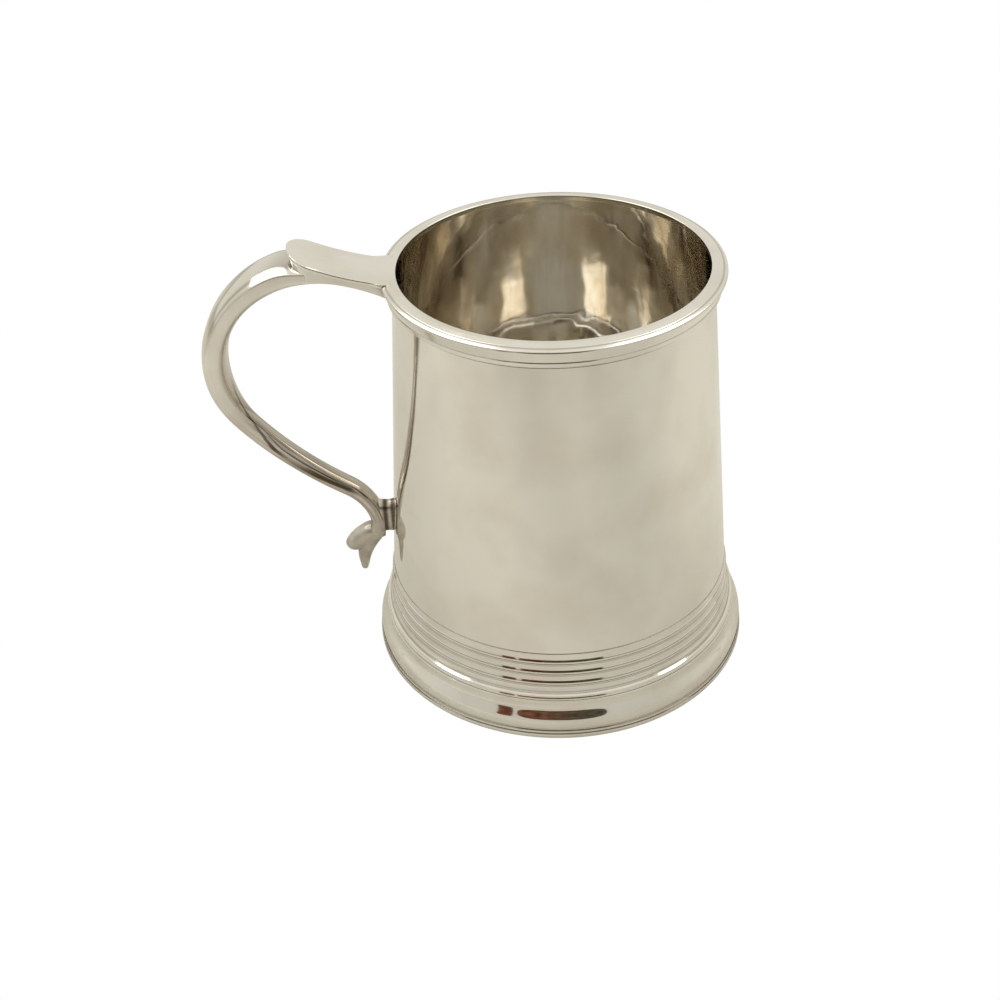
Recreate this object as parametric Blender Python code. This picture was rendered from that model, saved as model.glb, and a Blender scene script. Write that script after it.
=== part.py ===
"""A silver tankard: a tapering drum with an applied rim moulding, a reeded band, a stepped foot and a hollow
scroll handle that carries a thumb rest and ends in a cast tail."""

import math

import bmesh
import bpy
from mathutils import Vector

# Sizes are in metres. Heights are measured up from the underside of the foot.
GAP = 0.0003  # the solder line between two pieces
FACETS = 64  # flats round every turned piece
SHARP_ANGLE = 35.0

# Drum: a straight taper, necked in at its lower end under the band and the foot
OVERALL_HEIGHT = 0.114
DRUM_TOP_RADIUS = 0.0403
DRUM_LOW_RADIUS = 0.0478
DRUM_LOW_HEIGHT = 0.0095
SHEET = 0.0009
NECK_DEPTH = 0.0009

# Base disc, let into the drum
BASE_THICKNESS = 0.001
BASE_DOME = 0.0006

# Rim moulding: a flat lip over a tapering band
LIP_STAND = 0.0032  # beyond the top of the drum
LIP_THICKNESS = 0.001
LIP_EDGE = 0.0003
LIP_OVERHANG = 0.0004
RIM_DEPTH = 0.0063
RIM_BAND_LOW_WALL = 0.0011
RIM_LINE_HEIGHT = 0.0017
RIM_LINE_STEP = 0.0003

# Reeded band round the lower drum
BAND_TOP = 0.0253
BAND_LOW = 0.0129
BAND_TOP_STAND = 0.0005
BAND_FLARE = 0.0012
REED_COUNT = 3
REED_PITCH = 0.0035
REED_HEIGHT = 0.00045
REED_STEPS = 3

# Foot: a moulded skirt that stands on a base wire
SKIRT_COVE_DROP = 0.0021
SKIRT_COVE_STEP = 0.0009
SKIRT_COVE_STEPS = 2
SKIRT_BULGE = 0.0004
SKIRT_BULGE_STEPS = 4
SKIRT_SPREAD = 0.00196
SKIRT_WALL = 0.0013
WIRE_STAND = 0.0005  # beyond the lower edge of the skirt
WIRE_HEIGHT = 0.003
WIRE_WIDTH = 0.0024
WIRE_EDGE = 0.0003

# Handle: the face towards the fingers is a chain of tangent arcs, each a radius and a turn in degrees
HANDLE_DROP = 0.0044
HANDLE_REACH = 0.0401
SHOULDER_RADIUS = 0.0486
BEND_RADIUS = 0.0254
ARM_RADIUS = 0.0995
HEEL_RADIUS = 0.019
HANDLE_START_SLOPE = 25.6
HANDLE_ARCS = ((SHOULDER_RADIUS, -12.6), (BEND_RADIUS, -141.3), (ARM_RADIUS, -18.1), (HEEL_RADIUS, 46.2))
HANDLE_STATIONS = 44
HANDLE_SHEET = 0.0009
HANDLE_RUN_IN = 0.0045

# Handle sections, each a width, a thickness and the crown of its back: where the channel starts under the
# thumb rest, past it, at the bend, on the lower arm and at the heel, with the shares of its length for the last four
TOP_WIDTH = 0.0144
START_SECTION = (TOP_WIDTH, 0.0043, 0.0008)
CREST_SECTION = (TOP_WIDTH, 0.0063, 0.0016)
BEND_SECTION = (0.0118, 0.0066, 0.0015)
ARM_SECTION = (0.0058, 0.0059, 0.0009)
HEEL_SECTION = (0.006, 0.0043, 0.0008)
SECTION_PLACES = (0.21, 0.44, 0.62, 1.0)
CROWN_STEPS = 6

# Thumb rest: a tongue as wide as the handle, which rises from the rim over a wedge and past the crest
PLATE_LENGTH = 0.0224
PLATE_THICKNESS = 0.0013
PLATE_SLOPE = 0.187
PLATE_CURVE = 7.1
PLATE_TIP_LENGTH = 0.0055
PLATE_STATIONS = 8
PLATE_TIP_ANGLES = (12, 30, 50, 65, 76, 84)
WEDGE_LENGTH = 0.018
WEDGE_END_SLANT = 0.0022

# Strut that holds the heel of the handle off the drum
STRUT_HEIGHT = 0.0382
STRUT_TALL = 0.0084
STRUT_WIDTH = 0.005
STRUT_LENGTH = 0.0022
STRUT_FLARE = 0.0007
STRUT_STATIONS = ((0.0, 1.0), (0.3, 0.2), (0.7, 0.0), (1.0, 0.3))  # shares of its length and of its flare
STRUT_CORNER_ANGLES = (15, 35, 55, 75, 90)

# Tail: a lobe that flicks outwards over a tapering spur
TAIL_WIDTH = 0.006
TAIL_TIP_WIDTH = 0.003
TAIL_TAPER_LENGTH = 0.0092
TAIL_EDGE = 0.0004
TAIL_HEEL_RADIUS = 0.009
TAIL_SPUR_RADIUS = 0.02
TAIL_ARCS = ((TAIL_HEEL_RADIUS, 50.0), (TAIL_SPUR_RADIUS, -25.0))
TAIL_BACK = (
    (0.0070, -0.0187),
    (0.0078, -0.0158),
    (0.0087, -0.0118),
    (0.0099, -0.0099),
    (0.0113, -0.0096),
    (0.0121, -0.0086),
    (0.0110, -0.0073),
    (0.0077, -0.0049),
    (0.0054, -0.0030),
)
TAIL_BACK_STEPS = 3
TAIL_FRONT_STEPS = 12

SILVER = (0.80, 0.77, 0.70, 1.0)


def clear_scene():
    for old in list(bpy.data.objects):
        bpy.data.objects.remove(old, do_unlink=True)


def silver(name, roughness):
    """Polished silver with the warm grey that it has after years of handling."""
    material = bpy.data.materials.new(name)
    material.use_nodes = True
    shader = material.node_tree.nodes["Principled BSDF"]
    shader.inputs["Base Color"].default_value = SILVER
    shader.inputs["Metallic"].default_value = 1.0
    shader.inputs["Roughness"].default_value = roughness
    return material


def finish(name, bm, parent, roughness=0.12, cutter=False):
    """Turns the bmesh into an object of its own, with its faces outwards and its own material."""
    bmesh.ops.remove_doubles(bm, verts=bm.verts, dist=1e-6)
    bmesh.ops.recalc_face_normals(bm, faces=bm.faces)
    mesh = bpy.data.meshes.new(name)
    bm.to_mesh(mesh)
    bm.free()
    mesh.shade_smooth()
    mesh.set_sharp_from_angle(angle=math.radians(SHARP_ANGLE))
    made = bpy.data.objects.new(name, mesh)
    bpy.context.scene.collection.objects.link(made)
    made.parent = parent
    if cutter:
        made.hide_render = True
        made.display_type = "WIRE"
    else:
        mesh.materials.append(silver(name + "_silver", roughness))
    return made


def cut(target, cutter):
    modifier = target.modifiers.new("cut_" + cutter.name, "BOOLEAN")
    modifier.operation = "DIFFERENCE"
    modifier.object = cutter


def turned(name, profile, parent, **kind):
    """Spins an outline of (radius, height) points round the drum's axis. An outline that starts and ends on the
    axis stays open there."""
    bm = bmesh.new()
    corners = [bm.verts.new((radius, 0, height)) for radius, height in profile]
    edges = [bm.edges.new(pair) for pair in zip(corners, corners[1:])]
    if profile[0][0] > 0:
        edges.append(bm.edges.new((corners[-1], corners[0])))
    bmesh.ops.spin(
        bm, geom=corners + edges, cent=(0, 0, 0), axis=(0, 0, 1), angle=math.tau, steps=FACETS, use_merge=True
    )
    return finish(name, bm, parent, **kind)


def lofted(name, sections, parent, mirrored_ends=False, **kind):
    """Skins a row of point loops with the same number of points and closes both ends: with one face each, or from
    side to side where each loop's second half mirrors its first."""
    bm = bmesh.new()
    rings = [[bm.verts.new(point) for point in section] for section in sections]
    count = len(rings[0])
    for ring, after in zip(rings, rings[1:]):
        for i in range(count):
            j = (i + 1) % count
            bm.faces.new((ring[i], ring[j], after[j], after[i]))
    for ring in (rings[0], rings[-1]):
        if not mirrored_ends:
            bm.faces.new(ring)
            continue
        for i in range(count // 2 - 1):
            bm.faces.new((ring[i], ring[i + 1], ring[-2 - i], ring[-1 - i]))
    return finish(name, bm, parent, **kind)


def drum_radius(height):
    """Outer radius of the plain drum."""
    share = (height - DRUM_LOW_HEIGHT) / (OVERALL_HEIGHT - DRUM_LOW_HEIGHT)
    return DRUM_LOW_RADIUS + (DRUM_TOP_RADIUS - DRUM_LOW_RADIUS) * share


def neck_radius(height):
    """Outer radius of the drum where the band and the foot sit on it."""
    return drum_radius(height) - NECK_DEPTH


def body_drum(parent):
    top = OVERALL_HEIGHT - LIP_THICKNESS - GAP
    step = BAND_TOP + GAP
    profile = [
        (drum_radius(top), top),
        (drum_radius(step), step),
        (neck_radius(step), step),
        (neck_radius(DRUM_LOW_HEIGHT), DRUM_LOW_HEIGHT),
        (neck_radius(DRUM_LOW_HEIGHT) - SHEET, DRUM_LOW_HEIGHT),
        (neck_radius(step + SHEET) - SHEET, step + SHEET),
        (drum_radius(step + SHEET + NECK_DEPTH) - SHEET, step + SHEET + NECK_DEPTH),
        (drum_radius(top) - SHEET, top),
    ]
    return turned("body_drum", profile, parent)


def base_disc(parent):
    radius = neck_radius(DRUM_LOW_HEIGHT + BASE_THICKNESS) - SHEET - GAP
    low = DRUM_LOW_HEIGHT
    top = low + BASE_THICKNESS
    half = radius / 2
    profile = [
        (0, top + BASE_DOME),
        (half, top + 0.75 * BASE_DOME),
        (radius, top),
        (radius, low),
        (half, low + 0.75 * BASE_DOME),
        (0, low + BASE_DOME),
    ]
    return turned("base_disc", profile, parent, roughness=0.25)


def rim_radius():
    """Radius of the lip, the widest point of the rim moulding."""
    return DRUM_TOP_RADIUS + LIP_STAND


def rim_outline():
    """Outer outline of the rim moulding, from the lip down to its lower edge."""
    radius = rim_radius()
    top = OVERALL_HEIGHT
    low = top - RIM_DEPTH
    under_lip = top - LIP_THICKNESS - LIP_EDGE
    band_top = radius - LIP_OVERHANG
    band_low = drum_radius(low) + RIM_BAND_LOW_WALL
    line = low + RIM_LINE_HEIGHT
    return [
        (radius - LIP_EDGE, top),
        (radius, top - LIP_EDGE),
        (radius, top - LIP_THICKNESS),
        (band_top, under_lip),
        (band_low + RIM_LINE_STEP, line),
        (band_low, line),
        (band_low, low + LIP_EDGE),
        (band_low - LIP_EDGE, low),
    ]


def rim_moulding(parent):
    top = OVERALL_HEIGHT
    seat = top - LIP_THICKNESS
    bore = drum_radius(top) - SHEET
    profile = rim_outline() + [
        (drum_radius(top - RIM_DEPTH) + GAP, top - RIM_DEPTH),
        (drum_radius(seat) + GAP, seat),
        (bore, seat),
        (bore, top - LIP_EDGE),
        (bore + LIP_EDGE, top),
    ]
    return turned("rim_moulding", profile, parent)


def band_radius(height):
    """Radius of the grooves between the reeds."""
    share = (BAND_TOP - height) / (REED_COUNT * REED_PITCH)
    return drum_radius(BAND_TOP) + BAND_TOP_STAND + BAND_FLARE * share * share


def reeded_band(parent):
    outline = []
    for reed in range(REED_COUNT):
        for step in range(REED_STEPS + 1):
            share = step / REED_STEPS
            height = BAND_TOP - REED_PITCH * (reed + share)
            outline.append((band_radius(height) + REED_HEIGHT * math.sin(math.pi * share), height))
    profile = [point for point, after in zip(outline, outline[1:]) if point != after] + [outline[-1]]
    profile += [
        (band_radius(BAND_LOW), BAND_LOW),
        (neck_radius(BAND_LOW) + GAP, BAND_LOW),
        (neck_radius(BAND_TOP) + GAP, BAND_TOP),
    ]
    return turned("reeded_band", profile, parent)


def ledge_radius():
    """Radius of the foot where its cove meets its skirt."""
    return band_radius(BAND_LOW) + SKIRT_COVE_STEP


def wire_radius():
    """Outer radius of the base wire, the widest point of the drum and foot."""
    return ledge_radius() + SKIRT_SPREAD + WIRE_STAND


def foot_skirt(parent):
    top = BAND_LOW - GAP
    low = WIRE_HEIGHT + GAP
    cove_low = top - SKIRT_COVE_DROP
    ledge = ledge_radius()
    cove = []
    for step in range(SKIRT_COVE_STEPS + 1):
        turn = math.pi / 2 * step / SKIRT_COVE_STEPS
        cove.append((ledge - SKIRT_COVE_STEP * math.cos(turn), top - SKIRT_COVE_DROP * math.sin(turn)))
    bulge = []
    for step in range(1, SKIRT_BULGE_STEPS + 1):
        share = step / SKIRT_BULGE_STEPS
        radius = ledge + SKIRT_SPREAD * share + SKIRT_BULGE * math.sin(math.pi * share)
        bulge.append((radius, cove_low + (low - cove_low) * share))
    outer = cove + bulge
    seat = neck_radius(DRUM_LOW_HEIGHT) + GAP
    inner = [(radius - SKIRT_WALL, height) for radius, height in reversed(bulge)]
    inner += [(seat, DRUM_LOW_HEIGHT - GAP), (neck_radius(top) + GAP, top)]
    return turned("foot_skirt", outer + inner, parent)


def foot_wire(parent):
    outer = wire_radius()
    inner = outer - WIRE_WIDTH
    profile = [
        (inner, WIRE_HEIGHT),
        (outer - WIRE_EDGE, WIRE_HEIGHT),
        (outer, WIRE_HEIGHT - WIRE_EDGE),
        (outer, WIRE_EDGE),
        (outer - WIRE_EDGE, 0),
        (inner + WIRE_EDGE, 0),
        (inner, WIRE_EDGE),
    ]
    return turned("foot_wire", profile, parent)


def arc_chain(start, slope, arcs, steps):
    """Points and headings along tangent arcs, in the plane of the handle: (distance from the axis, height)."""
    points = [Vector(start)]
    heading = math.radians(slope)
    headings = [heading]
    length = sum(radius * abs(math.radians(turn)) for radius, turn in arcs)
    for radius, turn in arcs:
        count = max(2, round(steps * radius * abs(math.radians(turn)) / length))
        bend = math.radians(turn) / count
        chord = 2 * radius * math.sin(abs(bend) / 2)
        for _ in range(count):
            middle = heading + bend / 2
            points.append(points[-1] + chord * Vector((math.cos(middle), math.sin(middle))))
            heading += bend
            headings.append(heading)
    return points, headings


def handle_seats():
    """Where the finger face of the handle starts at the rim, and where it ends above the tail."""
    heel = STRUT_HEIGHT
    return (
        Vector((rim_radius(), OVERALL_HEIGHT - HANDLE_DROP)),
        Vector((drum_radius(heel) + STRUT_LENGTH, heel)),
    )


def finger_face():
    """The finger face of the handle: the arc chain, stretched to its reach and to its two seats."""
    chain, _ = arc_chain((0, 0), HANDLE_START_SLOPE, HANDLE_ARCS, HANDLE_STATIONS)
    top, heel = handle_seats()
    drop = chain[-1].y
    lean = chain[-1].x / drop
    stand = [point.x - lean * point.y for point in chain]
    farthest = max(stand)
    points = []
    for point, off in zip(chain, stand):
        share = point.y / drop
        points.append(top.lerp(heel, share) + Vector((HANDLE_REACH * off / farthest, 0)))
    return points


def path_lengths(points):
    lengths = [0.0]
    for before, after in zip(points, points[1:]):
        lengths.append(lengths[-1] + (after - before).length)
    return lengths


def path_normals(points):
    """Unit normals of the path, pointing away from the fingers."""
    normals = []
    for i in range(len(points)):
        along = points[min(i + 1, len(points) - 1)] - points[max(i - 1, 0)]
        normals.append(Vector((-along.y, along.x)).normalized())
    return normals


def section_at(share, start):
    """Width, thickness and crown of the handle at this share of its length, eased between the named sections."""
    sections = (START_SECTION, CREST_SECTION, BEND_SECTION, ARM_SECTION, HEEL_SECTION)
    places = (start, *SECTION_PLACES)
    for i in range(len(sections) - 1):
        if share <= places[i + 1]:
            break
    part = max(0.0, (share - places[i]) / (places[i + 1] - places[i]))
    eased = part * part * (3 - 2 * part)
    return [a + (b - a) * eased for a, b in zip(sections[i], sections[i + 1])]


def handle_stations():
    """(point, normal, width, thickness, crown) along the handle, and the number of the one where the channel
    starts, at the end of the wedge. The first is run in past the rim for its cut."""
    points = finger_face()
    reach = rim_radius() + WEDGE_LENGTH
    start = next(i for i, point in enumerate(points) if point.x > reach)
    before, after = points[start - 1], points[start]
    points.insert(start, before.lerp(after, (reach - before.x) / (after.x - before.x)))
    normals = path_normals(points)
    lengths = path_lengths(points)
    rows = []
    for point, normal, length in zip(points, normals, lengths):
        rows.append((point, normal, *section_at(length / lengths[-1], lengths[start] / lengths[-1])))
    first = rows[0]
    along = Vector((first[1].y, -first[1].x))
    return [(first[0] - HANDLE_RUN_IN * along, *first[1:])] + rows, start + 1


def channel_stations(back_off):
    """The stations of the channel, with its first one moved towards the rim by this much."""
    rows, start = handle_stations()
    point, normal, *section = rows[start]
    along = Vector((normal.y, -normal.x))
    return [(point - back_off * along, normal, *section)] + rows[start + 1 :]


def placed(point, normal, across, out):
    """A point of a handle section, across its width and out from the finger face, with the handle towards -X."""
    flat = point + normal * out
    return (-flat.x, across, flat.y)


def crown_line(half, out, crown):
    """(across, out) points over the back of a section: its two upper corners and the crown between them."""
    line = []
    for step in range(CROWN_STEPS + 1):
        share = 2 * step / CROWN_STEPS - 1
        line.append((half * share, out - crown * share * share))
    return line


def handle_channel(parent):
    """The outer part of the handle: two sides and a crowned back, open towards the finger strip."""
    sections = []
    for point, normal, width, thickness, crown in channel_stations(0):
        half = width / 2
        low = HANDLE_SHEET + GAP
        outside = [(-half, low)] + crown_line(half, thickness, crown) + [(half, low)]
        roof = max(thickness - HANDLE_SHEET, low + crown + GAP)
        inside = [(half - HANDLE_SHEET, low)]
        inside += reversed(crown_line(half - HANDLE_SHEET, roof, crown))
        inside += [(-half + HANDLE_SHEET, low)]
        sections.append([placed(point, normal, across, out) for across, out in outside + inside])
    return lofted("handle_channel", sections, parent)


def handle_finger_strip(parent):
    """The inner part of the handle: a flat strip that closes the channel on the finger side."""
    sections = []
    for point, normal, width, _, _ in handle_stations()[0]:
        half = width / 2
        corners = ((-half, 0), (half, 0), (half, HANDLE_SHEET), (-half, HANDLE_SHEET))
        sections.append([placed(point, normal, across, out) for across, out in corners])
    return lofted("handle_finger_strip", sections, parent)


def channel_envelope(parent):
    """The filled channel, larger by the solder gap, which the thumb rest is cut to."""
    sections = []
    for point, normal, width, thickness, crown in channel_stations(GAP):
        half = width / 2 + GAP
        around = [(-half, -GAP)] + crown_line(half, thickness + GAP, crown) + [(half, -GAP)]
        sections.append([placed(point, normal, across, out) for across, out in around])
    return lofted("channel_envelope", sections, parent, cutter=True)


def rim_envelope(parent):
    """The rim and the drum, larger by the solder gap, which the upper end of the handle is cut to."""
    low = OVERALL_HEIGHT - RIM_DEPTH
    foot = low - RIM_DEPTH
    above = OVERALL_HEIGHT + RIM_DEPTH
    profile = [(0, above), (rim_radius() + GAP, above)]
    profile += [(radius + GAP, height) for radius, height in rim_outline()[2:-1]]
    profile += [
        (rim_outline()[-1][0] + GAP, low - GAP),
        (drum_radius(low) + GAP, low - GAP),
        (drum_radius(foot) + GAP, foot),
        (0, foot),
    ]
    return turned("rim_envelope", profile, parent, cutter=True)


def plate_height(out):
    """Height of the plate's top this far out from the rim's edge."""
    rise = max(0.0, out)
    return OVERALL_HEIGHT + PLATE_SLOPE * rise + PLATE_CURVE * rise * rise


def plate_half_width(out):
    """Half the plate's width, which closes in an ellipse at its tip."""
    into_tip = max(0.0, out - (PLATE_LENGTH - PLATE_TIP_LENGTH)) / PLATE_TIP_LENGTH
    return TOP_WIDTH / 2 * math.sqrt(max(0.0, 1 - into_tip * into_tip))


def height_on(line, reach):
    """Height of a line of points where it first passes this distance from the drum's axis."""
    for before, after in zip(line, line[1:]):
        if before.x <= reach <= after.x:
            return before.y + (after.y - before.y) * (reach - before.x) / (after.x - before.x)
    return line[0].y


def thumb_rest(parent):
    """The plate, on a wedge that fills the space down to the finger strip."""
    rows, _ = handle_stations()
    strip_top = [point + normal * (HANDLE_SHEET + GAP) for point, normal, *_ in rows]
    straight = PLATE_LENGTH - PLATE_TIP_LENGTH
    run_in = HANDLE_RUN_IN / 2
    stops = [-run_in + (straight + run_in) * i / PLATE_STATIONS for i in range(PLATE_STATIONS + 1)]
    stops += [WEDGE_LENGTH, WEDGE_LENGTH + WEDGE_END_SLANT]
    stops += [straight + PLATE_TIP_LENGTH * math.sin(math.radians(angle)) for angle in PLATE_TIP_ANGLES]
    sections = []
    for out in sorted(stops):
        top = plate_height(out)
        under = top - PLATE_THICKNESS
        reach = rim_radius() + out
        foot = height_on(strip_top, reach)
        slant = min(1.0, max(0.0, (out - WEDGE_LENGTH) / WEDGE_END_SLANT))
        foot = min(foot + (under - foot) * slant, under)
        half = plate_half_width(out)
        sections.append([(-reach, half, top), (-reach, -half, top), (-reach, -half, foot), (-reach, half, foot)])
    return lofted("thumb_rest", sections, parent)


def tail_front():
    """The tail's side towards the drum, which carries on from the finger face of the handle."""
    points = finger_face()
    normal = path_normals(points)[-1]
    along = Vector((normal.y, -normal.x))
    start = points[-1] + along * GAP
    front, _ = arc_chain(start, math.degrees(math.atan2(along.y, along.x)), TAIL_ARCS, TAIL_FRONT_STEPS)
    return front


def heel_face():
    """The lower half of the finger face and the side of the tail below it, which the strut meets."""
    points = finger_face()
    return points[len(points) // 2 :] + tail_front()


def smooth_through(corners, steps):
    """Points of a smooth curve through these corners, with this many steps between two of them."""
    line = []
    for i in range(len(corners) - 1):
        a, b = corners[max(i - 1, 0)], corners[i]
        c, d = corners[i + 1], corners[min(i + 2, len(corners) - 1)]
        for step in range(steps):
            t = step / steps
            bend = (2 * a - 5 * b + 4 * c - d) * t**2 + (3 * b - a - 3 * c + d) * t**3
            line.append(b + ((c - a) * t + bend) / 2)
    return line + [corners[-1]]


def handle_terminal(parent):
    """The cast tail below the strut: a lobe over a spur, no wider than the heel of the handle."""
    points = finger_face()
    heel = points[-1]
    front = tail_front()
    corners = [heel + Vector(corner) for corner in TAIL_BACK]
    corners.append(front[0] + path_normals(points)[-1] * HEEL_SECTION[1])
    outline = front + smooth_through(corners, TAIL_BACK_STEPS)
    lowest = min(point.y for point in outline)
    bm = bmesh.new()
    sides = []
    for side in (1, -1):
        ring = []
        for point in outline:
            share = min(1.0, (point.y - lowest) / TAIL_TAPER_LENGTH)
            half = (TAIL_TIP_WIDTH + (TAIL_WIDTH - TAIL_TIP_WIDTH) * share) / 2
            ring.append(bm.verts.new((-point.x, side * half, point.y)))
        sides.append(ring)
    faces = [bm.faces.new(sides[0]), bm.faces.new(sides[1])]
    for i in range(len(outline)):
        j = (i + 1) % len(outline)
        bm.faces.new((sides[0][i], sides[0][j], sides[1][j], sides[1][i]))
    rims = {edge for face in faces for edge in face.edges}
    bmesh.ops.bevel(bm, geom=list(rims), offset=TAIL_EDGE, segments=2, affect="EDGES", profile=0.5)
    return finish("handle_terminal", bm, parent)


def heel_strut(parent):
    """The strut: it follows the drum at one end and the heel of the handle at the other."""
    face = heel_face()

    def heel_at(height):
        for before, after in zip(face, face[1:]):
            if after.y <= height <= before.y:
                return before.x + (after.x - before.x) * (before.y - height) / (before.y - after.y)
        return face[-1].x

    corner = STRUT_WIDTH / 2
    straight = STRUT_TALL / 2 - corner
    turns = [math.radians(angle) for angle in STRUT_CORNER_ANGLES]
    upper = [(corner * math.sin(turn), straight + corner * math.cos(turn)) for turn in turns]
    side = upper + [(corner, 0)] + [(across, -up) for across, up in reversed(upper)]
    outline = side + [(-across, up) for across, up in reversed(side)]
    sections = []
    for share, flared in STRUT_STATIONS:
        flare = flared * STRUT_FLARE
        ring = []
        for across, up in outline:
            wide = across * (1 + 2 * flare / STRUT_WIDTH)
            height = STRUT_HEIGHT + up * (1 + 2 * flare / STRUT_TALL)
            drum = math.sqrt(drum_radius(height) ** 2 - wide**2) + GAP
            heel = heel_at(height) - GAP
            ring.append((-(drum + (heel - drum) * share), wide, height))
        sections.append(ring)
    return lofted("heel_strut", sections, parent, mirrored_ends=True)


def main():
    clear_scene()
    tankard = bpy.data.objects.new("tankard", None)
    bpy.context.scene.collection.objects.link(tankard)
    outermost = max(point.x + normal.x * thickness for point, normal, _, thickness, _ in channel_stations(0))
    tankard.location.x = (outermost - wire_radius()) / 2

    body_drum(tankard)
    base_disc(tankard)
    rim_moulding(tankard)
    reeded_band(tankard)
    foot_skirt(tankard)
    foot_wire(tankard)
    handle_channel(tankard)
    strip = handle_finger_strip(tankard)
    rest = thumb_rest(tankard)
    handle_terminal(tankard)
    heel_strut(tankard)

    rim = rim_envelope(tankard)
    for piece in (strip, rest):
        cut(piece, rim)
    cut(rest, channel_envelope(tankard))


main()
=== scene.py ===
"""Looks of the silver tankard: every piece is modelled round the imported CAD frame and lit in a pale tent."""

import math

import bpy
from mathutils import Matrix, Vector


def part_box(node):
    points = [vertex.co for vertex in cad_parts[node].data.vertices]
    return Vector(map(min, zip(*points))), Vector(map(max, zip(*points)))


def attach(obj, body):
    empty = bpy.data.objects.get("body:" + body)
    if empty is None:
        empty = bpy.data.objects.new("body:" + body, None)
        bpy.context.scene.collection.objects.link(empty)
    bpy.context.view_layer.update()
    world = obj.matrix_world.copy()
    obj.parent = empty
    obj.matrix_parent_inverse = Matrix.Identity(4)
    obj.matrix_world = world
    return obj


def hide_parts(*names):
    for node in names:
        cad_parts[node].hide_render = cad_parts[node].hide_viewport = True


bl_info = {
    "name": "Silver tankard",
    "version": (1, 0, 0),
    "blender": (4, 5, 0),
    "location": "3D View > Sidebar > Tankard",
    "description": "Models a tapering silver tankard with a reeded band and a hollow scroll handle",
    "category": "Add Mesh",
}

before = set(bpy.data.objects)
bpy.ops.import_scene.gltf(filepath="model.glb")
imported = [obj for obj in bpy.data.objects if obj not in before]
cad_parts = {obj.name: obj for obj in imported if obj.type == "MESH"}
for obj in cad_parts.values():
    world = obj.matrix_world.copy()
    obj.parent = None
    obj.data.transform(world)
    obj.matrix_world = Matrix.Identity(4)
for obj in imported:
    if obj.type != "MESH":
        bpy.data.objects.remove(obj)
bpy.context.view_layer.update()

MM = 0.001
LATHE_STEPS = 256
BAR_STEPS = 120
SMOOTH_ANGLE = math.radians(40)
ROUND_STEPS = 48


def mid(low, high):
    return (low + high) / 2


def cad_axis():
    """Where the drum's axis stands along X."""
    low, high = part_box("foot_wire")
    return mid(low.x, high.x)


def cad_radius(node):
    low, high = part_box(node)
    return (high.y - low.y) / 2


AXIS_X = cad_axis()


def linear(hex_colour):
    """An sRGB hex colour as the linear RGBA that the shaders take."""
    shares = [int(hex_colour[i : i + 2], 16) / 255 for i in (1, 3, 5)]
    return (*[c / 12.92 if c <= 0.04045 else ((c + 0.055) / 1.055) ** 2.4 for c in shares], 1.0)


def length(name, value, description):
    """A size in metres that the sidebar shows in the scene's units."""
    kind = {"min": 0, "precision": 5, "subtype": "DISTANCE", "unit": "LENGTH"}
    return bpy.props.FloatProperty(name=name, description=description, default=value, **kind)


def colour(name, hex_colour, description):
    return bpy.props.FloatVectorProperty(
        name=name, description=description, default=linear(hex_colour), size=4, min=0, max=1, subtype="COLOR"
    )


class TankardBodySizes(bpy.types.PropertyGroup):
    """Sizes of the drum, its base and its rim."""

    height: length("Height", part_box("rim_moulding")[1].z, "Height of the rim above the table")
    lip: length("Lip radius", cad_radius("rim_moulding"), "Radius of the lip, the widest part of the rim")
    top: length("Drum top radius", 40.3 * MM, "Outer radius of the drum at the rim")
    low: length("Drum low radius", 47.8 * MM, "Outer radius of the drum at its foot")
    low_height: length("Drum foot height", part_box("body_drum")[0].z, "Height at which the drum ends below")
    sheet: length("Sheet", 0.9 * MM, "Thickness of the drum's wall")
    neck: length("Neck", 0.9 * MM, "Depth by which the drum is drawn in under the reeded band")
    rim_depth: length("Rim depth", 6.3 * MM, "Height of the moulding under the lip")
    lip_thickness: length("Lip thickness", 1.15 * MM, "Thickness of the flat lip")
    base_sheet: length("Base sheet", 1 * MM, "Thickness of the base")
    base_dome: length("Base dome", 0.6 * MM, "Rise of the base at its middle")


class TankardFootSizes(bpy.types.PropertyGroup):
    """Sizes of the reeded band and the spreading foot."""

    band_top: length("Band top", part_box("reeded_band")[1].z, "Upper edge of the reeded band")
    band_low: length("Band foot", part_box("reeded_band")[0].z, "Lower edge of the reeded band")
    reed_pitch: length("Reed pitch", 3.27 * MM, "Distance from one reed to the next")
    reed_bead: length("Reed bead", 1.25 * MM, "Height of the bead of a reed")
    reed_stand: length("Reed stand", 0.3 * MM, "How far a bead stands out")
    skirt_spread: length("Skirt spread", 1.96 * MM, "How far the skirt spreads to the base wire")
    wire: length("Wire radius", cad_radius("foot_wire"), "Outer radius of the base wire")
    wire_height: length("Wire height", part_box("foot_wire")[1].z, "Height of the base wire")
    wire_width: length("Wire width", 2.4 * MM, "Width of the base wire")


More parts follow.
